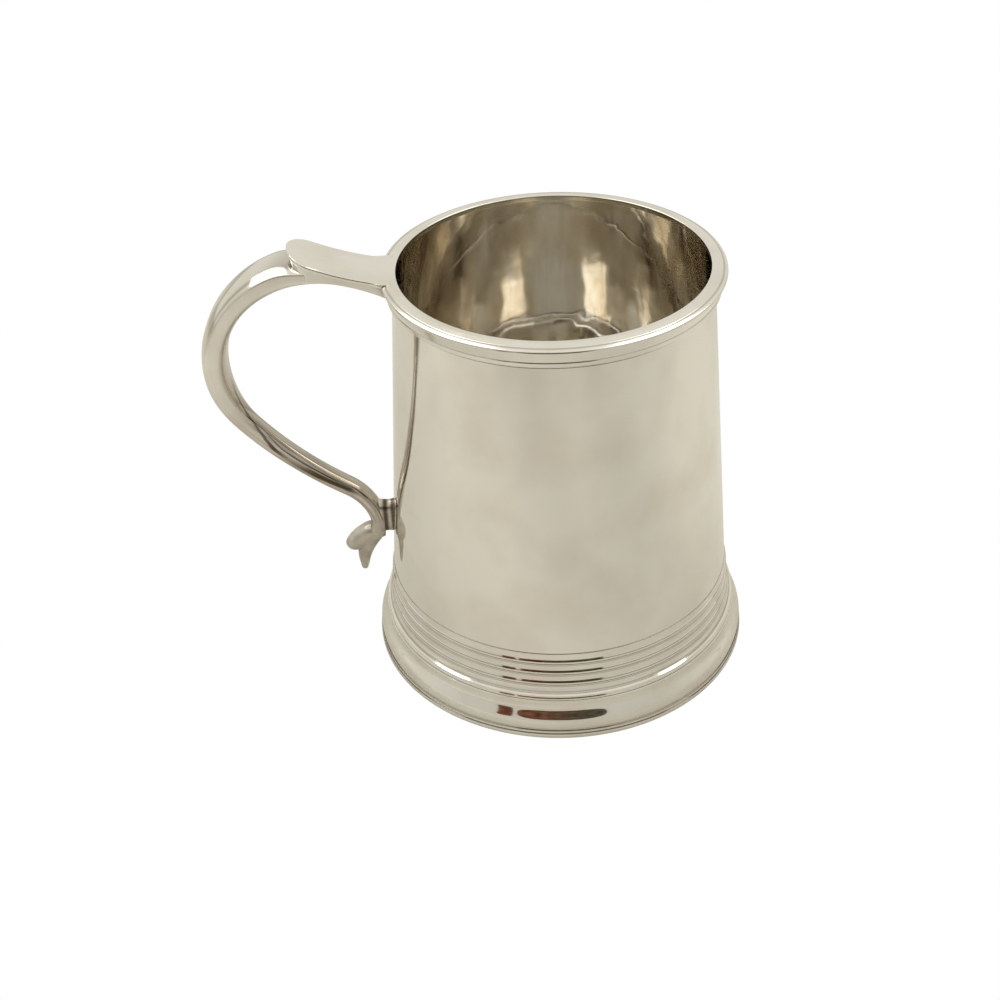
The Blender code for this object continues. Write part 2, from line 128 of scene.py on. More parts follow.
class TankardHandleSizes(bpy.types.PropertyGroup):
    """Sizes of the scroll handle, its thumb rest, its strut and its tail."""

    reach: length("Reach", 40.1 * MM, "How far the finger side stands off the line from rim to heel")
    drop: length("Drop", 4.4 * MM, "Depth below the rim at which the finger side starts")
    heel_height: length("Heel height", 38.2 * MM, "Height of the strut's middle")
    strip: length("Strip", 0.9 * MM, "Thickness of the strip on the finger side")
    top_width: length("Top width", 14.4 * MM, "Width of the handle at the rim")
    plate: length("Thumb plate", 22.4 * MM, "Length of the thumb rest out from the rim")
    plate_thickness: length("Plate thickness", 1.3 * MM, "Thickness of the thumb rest")
    wedge: length("Wedge", 18 * MM, "Length of the filled part under the thumb rest")
    strut_width: length("Strut width", 5.0 * MM, "Width of the strut")
    strut_tall: length("Strut height", 8.4 * MM, "Height of the strut")
    strut_length: length("Strut length", 2.2 * MM, "Distance from the drum to the heel of the handle")


class TankardFinish(bpy.types.PropertyGroup):
    """Colours of the silver and of the light tent."""

    silver: colour("Silver", "#F3F1EA", "Clean polished silver")
    toned: colour("Toned silver", "#E6E1D6", "Silver with a breath of tarnish")
    inside: colour("Inside silver", "#EAE8E3", "Silver of the inside, which is polished less")
    # Inside, this brown is also painted shade, gathered on the walls at the handle's side and opposite it
    tarnish: colour("Tarnish", "#CFC4B0", "Light brown tarnish of the inside")
    # This brown is painted shade on the strut and along the handle's finger side, and a painted reflection
    # along its top
    streak: colour("Streak", "#A89E92", "Brown tarnish on the lower arm, the strut and the tail")
    # Besides tarnish in grooves, this dark colour paints shade under the rim moulding and at the strut, and
    # reflections at the step under the lip and round the inner ridge
    grime_and_shade: colour("Grime", "#4E4332", "Dark tarnish left in grooves")
    floor: colour("Floor", "#D9D7D1", "Table top of the light tent")
    floor_shade: colour("Floor shade", "#C9C7C2", "Soft shadows on the table top")
    cloth: colour("Tent cloth", "#FFFBF0", "Cloth of the light tent")
    room: colour("Room, left", "#6A4432", "Left of the dark room beyond the openings of the tent")
    room_right: colour("Room, right", "#4F4A3D", "Right of the dark room beyond the openings of the tent")


def body_sizes():
    return bpy.context.scene.tankard_body


def foot_sizes():
    return bpy.context.scene.tankard_foot


def handle_sizes():
    return bpy.context.scene.tankard_handle


def finish_colours():
    return bpy.context.scene.tankard_finish


# Outlines and paths


def drum_radius(height):
    body = body_sizes()
    share = (height - body.low_height) / (body.height - body.low_height)
    return body.low + (body.top - body.low) * share


def corners_at(x, y, *offsets):
    """Corners of an outline, each offset from this point: across, up, and its fillet, in millimetres."""
    return [(x + across * MM, y + up * MM, fillet * MM) for across, up, fillet in offsets]


def lines_at(level, *offsets):
    """Thin dark lines as with_lines takes them, each (up from the level, half its width) in millimetres and a
    strength."""
    return [(level + up * MM, half * MM, strength) for up, half, strength in offsets]


def softened(corners, steps=5, hold=0.12 * MM):
    """An outline of (across, up, fillet) corners with each fillet drawn as an arc. A point held just beyond
    each arc keeps smooth shading flat along the straight runs."""
    count = len(corners)
    points = []
    for i, (x, y, fillet) in enumerate(corners):
        here = Vector((x, y))
        if not fillet:
            points.append(here)
            continue
        before = Vector(corners[i - 1][:2]) - here
        after = Vector(corners[(i + 1) % count][:2]) - here
        room = 0.48 * min(before.length, after.length)
        half_turn = before.angle(after) / 2
        reach = min(fillet / max(math.tan(half_turn), 0.05), room)
        start = here + before.normalized() * reach
        end = here + after.normalized() * reach
        if before.length * 0.5 - reach > hold:
            points.append(start + before.normalized() * hold)
        for step in range(steps + 1):
            t = step / steps
            points.append(start * (1 - t) ** 2 + here * 2 * t * (1 - t) + end * t * t)
        if after.length * 0.5 - reach > hold:
            points.append(end + after.normalized() * hold)
    return points


def arc_chain(slope, arcs, steps):
    """Points along tangent arcs of (radius, turn in degrees), from the origin."""
    points = [Vector((0, 0))]
    heading = math.radians(slope)
    whole = sum(radius * abs(math.radians(turn)) for radius, turn in arcs)
    for radius, turn in arcs:
        count = max(2, round(steps * radius * abs(math.radians(turn)) / whole))
        bend = math.radians(turn) / count
        chord = 2 * radius * math.sin(abs(bend) / 2)
        for _ in range(count):
            middle = heading + bend / 2
            points.append(points[-1] + chord * Vector((math.cos(middle), math.sin(middle))))
            heading += bend
    return points


def finger_face():
    """The finger side of the handle as (distance from the drum's axis, height), from the rim to the heel."""
    body, handle = body_sizes(), handle_sizes()
    arcs = ((48.6 * MM, -12.6), (25.4 * MM, -141.3), (99.5 * MM, -18.1), (19 * MM, 46.2))
    chain = arc_chain(25.6, arcs, 2 * BAR_STEPS)
    top = Vector((body.lip, body.height - handle.drop))
    heel = Vector((drum_radius(handle.heel_height) + handle.strut_length, handle.heel_height))
    drop = chain[-1].y
    lean = chain[-1].x / drop
    stand = [point.x - lean * point.y for point in chain]
    farthest = max(stand)
    return [
        top.lerp(heel, point.y / drop) + Vector((handle.reach * off / farthest, 0))
        for point, off in zip(chain, stand)
    ]


def path_length(points):
    return sum((after - before).length for before, after in zip(points, points[1:]))


def smooth_through(corners, steps):
    """Points of a smooth curve through these corners."""
    line = []
    for i in range(len(corners) - 1):
        a, b = corners[max(i - 1, 0)], corners[i]
        c, d = corners[i + 1], corners[min(i + 2, len(corners) - 1)]
        for step in range(steps):
            t = step / steps
            bend = (2 * a - 5 * b + 4 * c - d) * t**2 + (3 * b - a - 3 * c + d) * t**3
            line.append(b + ((c - a) * t + bend) / 2)
    return line + [corners[-1]]


# Modelling by hand, one operator after another


def clear_selection():
    if bpy.context.mode != "OBJECT":
        bpy.ops.object.mode_set(mode="OBJECT")
    bpy.ops.object.select_all(action="DESELECT")


def select_mesh():
    """Enters edit mode, with the whole mesh selected."""
    if bpy.context.mode != "EDIT_MESH":
        bpy.ops.object.mode_set(mode="EDIT")
    bpy.ops.mesh.select_all(action="SELECT")


def settle():
    """Moves the active object's place, turn and scale into its mesh."""
    bpy.ops.object.transform_apply(location=True, rotation=True, scale=True)


def pick(piece, *others):
    """Selects these objects, with the first one active."""
    clear_selection()
    for each in (*others, piece):
        each.select_set(True)
    bpy.context.view_layer.objects.active = piece


def draw_outline(name, points):
    """A closed line of edges through these points. It is left in edit mode with all of it selected."""
    clear_selection()
    bpy.ops.mesh.primitive_plane_add(size=MM, location=points[0])
    piece = bpy.context.object
    piece.name = name
    piece.data.name = name
    select_mesh()
    bpy.ops.mesh.merge(type="CENTER")
    for before, after in zip(points, points[1:] + points[:1]):
        bpy.ops.mesh.extrude_vertices_move(TRANSFORM_OT_translate={"value": Vector(after) - Vector(before)})
    select_mesh()
    bpy.ops.mesh.remove_doubles(threshold=0.002 * MM)
    return piece


def close_up(piece):
    """Ends the modelling of a closed shell: seams merged, faces turned outwards, place kept in the mesh."""
    select_mesh()
    bpy.ops.mesh.remove_doubles(threshold=0.001 * MM)
    bpy.ops.mesh.dissolve_degenerate(threshold=0.0005 * MM)
    select_mesh()
    bpy.ops.mesh.normals_make_consistent(inside=False)
    bpy.ops.object.mode_set(mode="OBJECT")
    settle()
    bpy.ops.object.shade_smooth_by_angle(angle=SMOOTH_ANGLE)
    if not piece.data.polygons:
        raise RuntimeError(f"{piece.name} has no faces")


def turn_on_lathe(name, outline):
    """A turned piece: its (radius, height) outline is spun once round the drum's axis."""
    piece = draw_outline(name, [(AXIS_X + point.x, 0, point.y) for point in outline])
    bpy.ops.mesh.spin(
        steps=LATHE_STEPS, angle=math.tau, center=(AXIS_X, 0, 0), axis=(0, 0, 1), use_auto_merge=True
    )
    close_up(piece)
    return piece


def draw_bar(name, section, stations):
    """A bar along +X. Its (across, out) section is extruded from station to station of (x, rise, width,
    height), and scaled about its seat, where out is 0, by the widths and heights."""
    x, rise, width, height = stations[0]
    piece = draw_outline(name, [(x, point.x * width, rise + point.y * height) for point in section])
    bpy.ops.mesh.edge_face_add()
    for before, after in zip(stations, stations[1:]):
        move = Vector((after[0] - before[0], 0, after[1] - before[1]))
        bpy.ops.mesh.extrude_region_move(TRANSFORM_OT_translate={"value": move})
        bpy.ops.transform.resize(
            value=(1, after[2] / before[2], after[3] / before[3]), center_override=(after[0], 0, after[1])
        )
    bpy.ops.object.mode_set(mode="OBJECT")
    settle()
    return piece


def shape_bar(name, stations, turns):
    """A bar along +X, extruded from a disc. Its stations are (x, ring), and each ring has as many (across,
    out) points as the disc. Two attributes keep each point's way along the bar and its turn round it."""
    count = len(stations[0][1])
    clear_selection()
    bpy.ops.mesh.primitive_circle_add(
        vertices=count, radius=MM, fill_type="NGON", location=(0, 0, 0), rotation=(0, math.pi / 2, 0)
    )
    piece = bpy.context.object
    piece.name = name
    piece.data.name = name
    settle()
    select_mesh()
    for _ in stations[1:]:
        bpy.ops.mesh.extrude_region_move(TRANSFORM_OT_translate={"value": (MM, 0, 0)})
    bpy.ops.object.mode_set(mode="OBJECT")
    way = piece.data.attributes.new("way", "FLOAT", "POINT")
    turn = piece.data.attributes.new("turn", "FLOAT", "POINT")
    for i, vertex in enumerate(piece.data.vertices):
        x, ring = stations[round(vertex.co.x / MM)]
        k = round(math.atan2(vertex.co.z, vertex.co.y) / math.tau * count) % count
        vertex.co = (x, ring[k].x, ring[k].y)
        way.data[i].value = x
        turn.data[i].value = turns[k]
    return piece


def bend_bar(piece, points):
    """Bends a bar along a path of (across, up) points in the plane of the handle."""
    clear_selection()
    bpy.ops.curve.primitive_nurbs_path_add()
    path = bpy.context.object
    path.data.splines.clear()
    spline = path.data.splines.new("POLY")
    spline.points.add(len(points) - 1)
    for place, point in zip(spline.points, points):
        place.co = (point.x, 0, point.y, 1)
    path.data.twist_mode = "MINIMUM"
    apply_modifier(piece, "CURVE", object=path, deform_axis="POS_X")
    bpy.data.objects.remove(path, do_unlink=True)


def finish_bar(piece):
    """Turns a piece drawn towards +X round the drum's axis, to the handle's side, and ends its modelling."""
    pick(piece)
    piece.rotation_euler = (0, 0, math.pi)
    piece.location = (AXIS_X, 0, 0)
    settle()
    close_up(piece)


def apply_modifier(piece, kind, **settings):
    pick(piece)
    modifier = piece.modifiers.new(kind.lower(), kind)
    for name, value in settings.items():
        setattr(modifier, name, value)
    bpy.ops.object.modifier_apply(modifier=modifier.name)


def hand_over(piece, nodes, slot, *materials):
    """Puts a finished piece on the body in place of its CAD nodes, with its materials."""
    piece.data.materials.clear()
    for material in materials:
        piece.data.materials.append(material)
    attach(piece, "root")
    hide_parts(*nodes)


def finish_silver(piece, node, part, **look):
    """Hands a piece over with its own polished silver."""
    hand_over(piece, [node], "polished_silver", polished_silver(part, **look))


# Materials


class Nodes:
    """The nodes of one material or world. Most methods give an output of the node that they add."""

    def __init__(self, owner):
        owner.use_nodes = True
        self.tree = owner.node_tree
        self.tree.nodes.clear()

    def add(self, kind, inputs=None, **properties):
        """Adds a node, sets its properties, and sets or links its inputs, named or counted from 0."""
        node = self.tree.nodes.new("ShaderNode" + kind)
        for name, value in properties.items():
            setattr(node, name, value)
        for name, value in (inputs or {}).items():
            if isinstance(value, bpy.types.NodeSocket):
                self.tree.links.new(value, node.inputs[name])
            else:
                node.inputs[name].default_value = value
        return node

    def place(self, kind="Object"):
        return self.add("TexCoord").outputs[kind]

    def along(self, place, axis):
        return self.add("SeparateXYZ", {"Vector": place}).outputs[axis]

    def mapped(self, place, **changes):
        return self.add("Mapping", {"Vector": place, **changes}).outputs[0]

    def noise(self, place, size, detail, roughness=0.5):
        """A soft random pattern from 0 to 1, with waves about this size."""
        inputs = {"Vector": place, "Scale": 1 / size, "Detail": detail, "Roughness": roughness}
        return self.add("TexNoise", inputs).outputs["Fac"]

    def ramp(self, value, low, high, first=0.0, last=1.0, smooth=False):
        """A number that goes from first to last while the value goes from low to high."""
        inputs = {"Value": value, "From Min": low, "From Max": high, "To Min": first, "To Max": last}
        kind = "SMOOTHSTEP" if smooth else "LINEAR"
        return self.add("MapRange", inputs, interpolation_type=kind).outputs[0]

    def math(self, operation, *values):
        return self.add("Math", dict(enumerate(values)), operation=operation).outputs[0]

    def apart(self, one, other):
        """How far two numbers lie apart."""
        return self.math("ABSOLUTE", self.math("SUBTRACT", one, other))

    def painted(self, clean, top, share):
        """A colour covered by another, as far as the share says."""
        return self.add("Mix", {0: share, 6: clean, 7: top}, data_type="RGBA").outputs[2]

    def with_lines(self, place, dark, lines, axis="Z"):
        """The stronger of some darkness and of thin dark lines, each (place along the axis, half its width,
        strength)."""
        along = self.along(place, axis)
        for level, half, strength in lines:
            line = self.ramp(self.apart(along, level), 0.3 * half, half, strength, 0.0)
            dark = self.math("MAXIMUM", dark, line)
        return dark

    def bump(self, height, distance, **inputs):
        inputs = {"Height": height, "Distance": distance, "Strength": 1.0, **inputs}
        return self.add("Bump", inputs).outputs[0]

    def metal(self, base, rough, normal):
        inputs = {"Base Color": base, "Roughness": rough, "Normal": normal, "Metallic": 1.0}
        shader = self.add("BsdfPrincipled", inputs)
        self.add("OutputMaterial", {"Surface": shader.outputs[0]})

    def seen_white(self, shader, white, output):
        """Ends a tree whose surface the camera sees as plain white, and everything else as the shader."""
        plain = self.add(white, {"Color": (1, 1, 1, 1), "Strength": 1.0})
        seen = self.add("LightPath").outputs["Is Camera Ray"]
        both = self.add("MixShader", {"Fac": seen, 1: shader.outputs[0], 2: plain.outputs[0]})
        self.add(output, {"Surface": both.outputs[0]})


def new_material(name):
    """A new material with its empty tree, or no tree if there is a material of this name."""
    material = bpy.data.materials.get(name)
    if material:
        return material, None
    material = bpy.data.materials.new(name)
    return material, Nodes(material)


def with_streaks(nodes, clean, colours):
    """Brown and dark marks along the handle. Brown along the finger side is painted shade, and a soft brown
    band along the top is a painted reflection. The lower arm is brown all over in uneven patches, with a dark
    streak there that wanders from the finger side towards the back, and a thin one beside it. Ways are shares
    of the handle's length, and turns run round it."""
    way = nodes.add("Attribute", attribute_name="way").outputs["Fac"]
    turn = nodes.add("Attribute", attribute_name="turn").outputs["Fac"]
    whole = path_length(finger_face())

    def on_way(start, end, first, last, smooth=True):
        return nodes.ramp(way, start * whole, end * whole, first, last, smooth)

    def near(course, core, edge, strength):
        """Strength on the course, which fades from the core to the edge beside it."""
        return nodes.ramp(nodes.apart(turn, course), core, edge, strength, 0, True)

    def both(one, other):
        return nodes.math("MULTIPLY", one, other)

    spot = nodes.add("CombineXYZ", {"X": on_way(0, 1, 0, 14, False), "Y": turn}).outputs[0]
    brown = nodes.noise(nodes.mapped(spot, Scale=(0.5, 3.2, 1)), 1, 3.0)
    wobble = nodes.noise(spot, 1 / 1.3, 3.0)
    course = nodes.math("SUBTRACT", on_way(0.5, 0.7, -1.5, 0.14), on_way(0.74, 0.9, 0, 0.34))
    course = nodes.math("ADD", course, nodes.ramp(wobble, 0.3, 0.7, -0.06, 0.06))
    black = both(on_way(0.62, 0.7, 0.7, 0.96), on_way(0.48, 0.54, 0, 1))
    black = both(black, on_way(0.87, 0.91, 1, 0))
    slim = both(near(course, 0.07, 0.15, 1), on_way(0.68, 0.74, 1, 0))
    broad = both(near(course, 0.15, 0.27, 1), on_way(0.7, 0.8, 0, 1))
    black = both(black, nodes.math("MAXIMUM", slim, broad))
    beside = nodes.math("SUBTRACT", course, 0.42)
    thin = both(near(beside, 0.03, 0.1, 0.7), on_way(0.6, 0.68, 0, 1))
    arm = both(on_way(0.44, 0.72, 0, 0.95), nodes.ramp(brown, 0.35, 0.62, 0.4, 1, True))
    # Painted shade: brown deepening towards the finger side, below the thumb rest
    edge = both(nodes.ramp(turn, 0.1, -0.9, 0, 0.7, True), on_way(0.15, 0.27, 0, 1))
    # Painted reflection: a soft brown band along the top of the upper handle
    top_reflection_band = both(near(on_way(0.15, 0.38, 1.45, 0.85), 0.02, 0.3, 0.7), on_way(0.3, 0.44, 1, 0))
    soft = nodes.math("MAXIMUM", nodes.math("MAXIMUM", arm, edge), top_reflection_band)
    base = nodes.painted(clean, colours.streak, soft)
    return nodes.painted(base, colours.grime_and_shade, nodes.math("MAXIMUM", black, thin))


def polished_silver(
    part, reach=0.9 * MM, open_share=0.75, lines=(), axis="Z", streaks=False, toning=0.0, dull=0.0
):
    """Sterling silver, raised from sheet and hand-polished: warm grey, nearly a mirror, with soft waves left
    by the planishing hammer, breaths of tarnish and hair-fine marks from years of cleaning. Polish dries and
    tarnish stays in its nooks, as far as the reach. The lines are thin dark lines: tarnish in grooves and at
    soldered joints, and in places painted shade and painted reflections. Toning is the share of brown laid all
    over in patches, tarnish on the handle and painted shade on the strut, and dull is roughness on top of the
    polish."""
    material, nodes = new_material(f"hand_polished_silver_{part}")
    if nodes is None:
        return material
    colours, place = finish_colours(), nodes.place()
    breath = nodes.ramp(nodes.noise(place, 20 * MM, 3.0, 0.55), 0.42, 0.72, 0.0, 0.85)
    base = nodes.painted(colours.silver, colours.toned, breath)
    if toning:
        patches = nodes.noise(place, 4 * MM, 3.0)
        base = nodes.painted(base, colours.streak, nodes.ramp(patches, 0.35, 0.65, 0.6 * toning, toning))
    if streaks:
        base = with_streaks(nodes, base, colours)
    nook = nodes.add("AmbientOcclusion", {"Distance": reach}, samples=8).outputs["AO"]
    dark = nodes.ramp(nook, 0.25, open_share, 1.0, 0.0)
    base = nodes.painted(base, colours.grime_and_shade, nodes.with_lines(place, dark, lines, axis))
    # Cleaning marks run round the piece, so the pattern is squeezed along the height
    marks = nodes.noise(nodes.mapped(place, Scale=(1, 1, 14)), 5 * MM, 6.0, 0.7)
    rough = nodes.ramp(marks, 0.3, 0.75, 0.04 + dull, 0.1 + dull)
    planished = nodes.bump(nodes.noise(place, 18 * MM, 1.0), 0.05 * MM)
    nodes.metal(base, rough, nodes.bump(marks, 0.001 * MM, Strength=0.6, Normal=planished))
    return material


def inside_silver():
    """The same silver inside the cup, where no cloth presses hard: a softer polish over broader hammer waves,
    and brown tarnish in patches and upright runs. The patches gather on the handle's side and opposite it
    as painted shade."""
    material, nodes = new_material("soft_polished_inside_silver")
    if nodes is None:
        return material
    colours, place = finish_colours(), nodes.place()
    patches = nodes.noise(place, 26 * MM, 4.0, 0.65)
    # Painted shade: the patches are kept mostly to the walls on the handle's side and opposite it, where the
    # inside mirrors darker things
    side = nodes.ramp(nodes.apart(nodes.along(place, "X"), AXIS_X), 12 * MM, 30 * MM, 0.2)
    share = nodes.math("MULTIPLY", nodes.ramp(patches, 0.42, 0.66, 0.0, 0.8), side)
    base = nodes.painted(colours.inside, colours.tarnish, share)
    runs = nodes.noise(nodes.mapped(place, Scale=(1, 1, 0.22)), 5 * MM, 3.0, 0.6)
    base = nodes.painted(base, colours.tarnish, nodes.ramp(runs, 0.5, 0.72, 0.0, 0.5))
    # The dark line round the faint inner ridge is a painted reflection of the dark rim in the far wall; the
    # lower line lies where the base meets the wall
    lines = lines_at(INNER_RIDGE, (0, 0.4, 0.9)) + lines_at(body_sizes().low_height, (2.15, 0.25, 0.85))
    base = nodes.painted(base, colours.grime_and_shade, nodes.with_lines(place, 0.0, lines))
    hammered = nodes.bump(nodes.noise(place, 20 * MM, 2.4), 0.26 * MM)
    nodes.metal(base, nodes.ramp(patches, 0.3, 0.75, 0.035, 0.11), hammered)
    return material


# Pieces

# The band starts this far below the top of its CAD piece, as the photo has it
BAND_DROP = 0.35 * MM

# Height of the faint ridge round the inside of the drum
INNER_RIDGE = 55.5 * MM


def inner_foot_radius():
    """Radius of the inner wall a little above the base."""
    body = body_sizes()
    return drum_radius(body.low_height + 6 * MM) - body.neck - body.sheet


class DrumOperator(bpy.types.Operator):
    """Models the tapering drum, drawn in where the band and the foot sit"""

    bl_idname = "mesh.tankard_drum"
    bl_label = "Tapering drum"

    def execute(self, context):
        body, foot = body_sizes(), foot_sizes()
        top = body.height - body.lip_thickness
        step = foot.band_top - BAND_DROP
        low = body.low_height
        necked = drum_radius(low) - body.neck
        inner_wall = drum_radius(INNER_RIDGE) - body.sheet
        corners = [
            (drum_radius(top), top, 0),
            (drum_radius(step), step, 0.08 * MM),
            (drum_radius(step) - body.neck, step, 0.05 * MM),
            (necked, low, 0.1 * MM),
            (necked - body.sheet, low, 0.1 * MM),
            *corners_at(inner_foot_radius(), low, (0.25, 4, 0.8)),
            *corners_at(inner_wall, INNER_RIDGE, (0.02, -0.5, 0.2), (-0.16, 0, 0.15), (0, 0.5, 0.2)),
            (drum_radius(top) - body.sheet, top, 0),
        ]
        drum = turn_on_lathe("tapered_drum", softened(corners, steps=8))
        # The upper dark line is painted shade just under the rim moulding's overhang, along its joint with the
        # drum; the lower one marks the joint at the band
        dark_lines = lines_at(top, (-5.38, 0.26, 0.9)) + lines_at(step, (0.1, 0.16, 0.5))
        silver = polished_silver("drum", lines=dark_lines)
        hand_over(drum, ["body_drum"], "polished_silver", silver, inside_silver())
        for face in drum.data.polygons:
            middle, normal = face.center, face.normal
            inwards = (middle.x - AXIS_X) * normal.x + middle.y * normal.y < 0
            face.material_index = 1 if inwards and middle.z > low + body.sheet else 0
        return {"FINISHED"}


class BaseOperator(bpy.types.Operator):
    """Models the base of the cup, with a soft fillet up to the wall"""

    bl_idname = "mesh.tankard_base"
    bl_label = "Base"

    def execute(self, context):
        body = body_sizes()
        low = body.low_height
        top = low + body.base_sheet
        fillet = 0.7 * MM
        wall = inner_foot_radius() + 0.04 * MM
        flat = wall - fillet
        let_in = wall + 0.2 * MM
        # The domed floor ends at a step up to the ledge that the fillet rises from
        step, step_width, ledge = 40.8 * MM, 0.35 * MM, 0.3 * MM
        rings = [step * i / 12 for i in range(13)]

        def dome(radius):
            return body.base_dome * (1 - (radius / wall) ** 2)

        outline = [Vector((radius, top + dome(radius))) for radius in rings]
        outline += [Vector((step + step_width, top + dome(step) + ledge)), Vector((flat, top + ledge))]
        for i in range(1, 13):
            turn = math.pi / 2 * i / 12
            rise = top + ledge + fillet * (1 - math.cos(turn))
            outline.append(Vector((flat + fillet * math.sin(turn), rise)))
        outline += [Vector((let_in, top + ledge + fillet)), Vector((let_in, low))]
        outline += [Vector((radius, low + dome(radius))) for radius in reversed(rings)]
        base = turn_on_lathe("domed_base", outline)
        hand_over(base, ["base_disc"], "inside_silver", inside_silver())
        return {"FINISHED"}


class RimOperator(bpy.types.Operator):
    """Models the flat lip over its moulded band"""

    bl_idname = "mesh.tankard_rim"
    bl_label = "Rim moulding"

    def execute(self, context):
        body = body_sizes()
        top = body.height
        low = top - body.rim_depth
        seat = top - body.lip_thickness
        bore = drum_radius(top) - body.sheet
        wall = drum_radius(low)
        lip = ((-2.75, 0, 1.2), (-1.3, -0.36, 0.2), (-1.18, -0.5, 0.04), (-0.85, -0.52, 0.3))
        edge = ((-0.12, -0.86, 0.4), (0, -1.3, 0.3))
        groove = ((1.62, 2.2, 0.8), (1.48, 1.98, 0.06), (1.58, 1.75, 0.12))
        bead = ((1.5, 0.9, 0.4), (0.8, 0.22, 0.3), (-0.1, 0.1, 0.05))
        corners = [
            *corners_at(body.lip, top, *lip, *edge),
            *corners_at(wall, low, *groove, *bead),
            *corners_at(drum_radius(seat), seat, (-0.2, -0.3, 0)),
            *corners_at(bore, seat, (-0.02, -0.3, 0.05)),
            *corners_at(bore, top, (-0.02, 0, 0.3)),
        ]
        rim = turn_on_lathe("flat_lip_and_rim", softened(corners, steps=6))
        # The upper dark line is a painted reflection of the dark opening, at the small step under the lip's
        # dome; the lower one lies in the groove under the band
        dark_lines = lines_at(top, (-0.48, 0.13, 0.3)) + lines_at(low, (1.97, 0.12, 0.35))
        finish_silver(rim, "rim_moulding", "rim", lines=dark_lines, dull=0.1)
        return {"FINISHED"}


class BandOperator(bpy.types.Operator):
    """Models the band of reeds round the foot of the drum"""

    bl_idname = "mesh.tankard_band"
    bl_label = "Reeded band"

    def execute(self, context):
        foot = foot_sizes()
        top, low = foot.band_top, foot.band_low
        stand, bead, pitch = foot.reed_stand, foot.reed_bead, foot.reed_pitch

        def ground(height):
            """Radius of the band between its reeds, which flares towards the foot."""
            share = (top - height) / (top - low)
            return drum_radius(top) + 0.12 * MM + 1.28 * MM * share**1.3

        top -= BAND_DROP
        grooves = [foot.band_top - 3.5 * MM - reed * pitch for reed in range(3)]
        corners = [(ground(top) - 0.04 * MM, top, 0.1 * MM)]
        dark_lines = []
        for groove in grooves:
            face = ground(groove + 0.5 * MM) + stand
            corners += corners_at(ground(groove + bead), groove + bead, (0, 0, 0.25))
            corners += corners_at(face, groove + bead, (0, -0.55, 0.25))
            corners += corners_at(face, groove, (0.03, 0.22, 0.12), (-0.12, 0.05, 0.05), (-0.02, -0.22, 0.12))
            dark_lines += lines_at(groove, (0.03, 0.19, 0.75), (0.85, 0.15, 0.5), (-0.42, 0.15, 0.55))
        corners += corners_at(ground(low + 1.2 * MM), low, (0.2, 1.2, 0.4))
        corners += corners_at(ground(low), low, (0.42, 0.35, 0.4), (0.45, -0.1, 0.05))
        corners += corners_at(drum_radius(low), low, (-0.7, -0.1, 0))
        corners += corners_at(drum_radius(top), top, (-0.7, 0, 0))
        band = turn_on_lathe("reeded_hoop", softened(corners, hold=0.06 * MM))
        dark_lines += lines_at(top, (-0.05, 0.16, 0.5)) + lines_at(low, (0.4, 0.35, 0.3))
        finish_silver(band, "reeded_band", "band", lines=dark_lines)
        return {"FINISHED"}


class FootOperator(bpy.types.Operator):
    """Models the foot: a small stepped cove, and the skirt that spreads in an ogee to the base wire"""

    bl_idname = "mesh.tankard_foot"
    bl_label = "Foot skirt"

    def execute(self, context):
        body, foot = body_sizes(), foot_sizes()
        top = foot.band_low - 0.05 * MM
        low = foot.wire_height
        ledge_height = 10.4 * MM
        ledge = foot.wire - 0.5 * MM - foot.skirt_spread
        cove = ((-0.52, -0.5, 0.12), (-0.5, -0.85, 0.12), (-0.3, -1.15, 0.12), (-0.28, -1.6, 0.1))
        lower_step = ((-0.4, -1.75, 0.04), (-0.1, -2.0, 0.2))
        corners = corners_at(ledge, top, (-2.2, 0, 0), (-1.22, 0, 0.03), *cove, *lower_step)
        outline = softened([*corners, (ledge, ledge_height, 0)], hold=0.06 * MM)
        # The slope of the skirt swells to a steep middle, and is gentle at both ends
        tall = ledge_height - low
        gentle, steep = -0.13, 0.8
        radius = ledge
        steps = 60
        weight = foot.skirt_spread / (tall * (gentle + steep / 2))
        for i in range(steps):
            share = (i + 0.5) / steps
            slope = gentle + steep * math.sin(math.pi * share**0.9) ** 2
            radius += slope * weight * tall / steps
            outline.append(Vector((radius, ledge_height - tall * (i + 1) / steps)))
        lowest = outline[-1]
        outline += [
            Vector((lowest.x - 1.3 * MM, low)),
            Vector((ledge - 1.3 * MM, ledge_height - 1.5 * MM)),
            Vector((drum_radius(body.low_height) - body.neck - 0.1 * MM, body.low_height - 0.1 * MM)),
            Vector((drum_radius(top) - body.neck, top)),
        ]
        skirt = turn_on_lathe("spreading_skirt", outline)
        dark_lines = lines_at(top, (-0.02, 0.2, 0.45), (-1.75, 0.17, 0.75)) + lines_at(low, (0.02, 0.17, 0.7))
        finish_silver(skirt, "foot_skirt", "foot", lines=dark_lines)
        return {"FINISHED"}


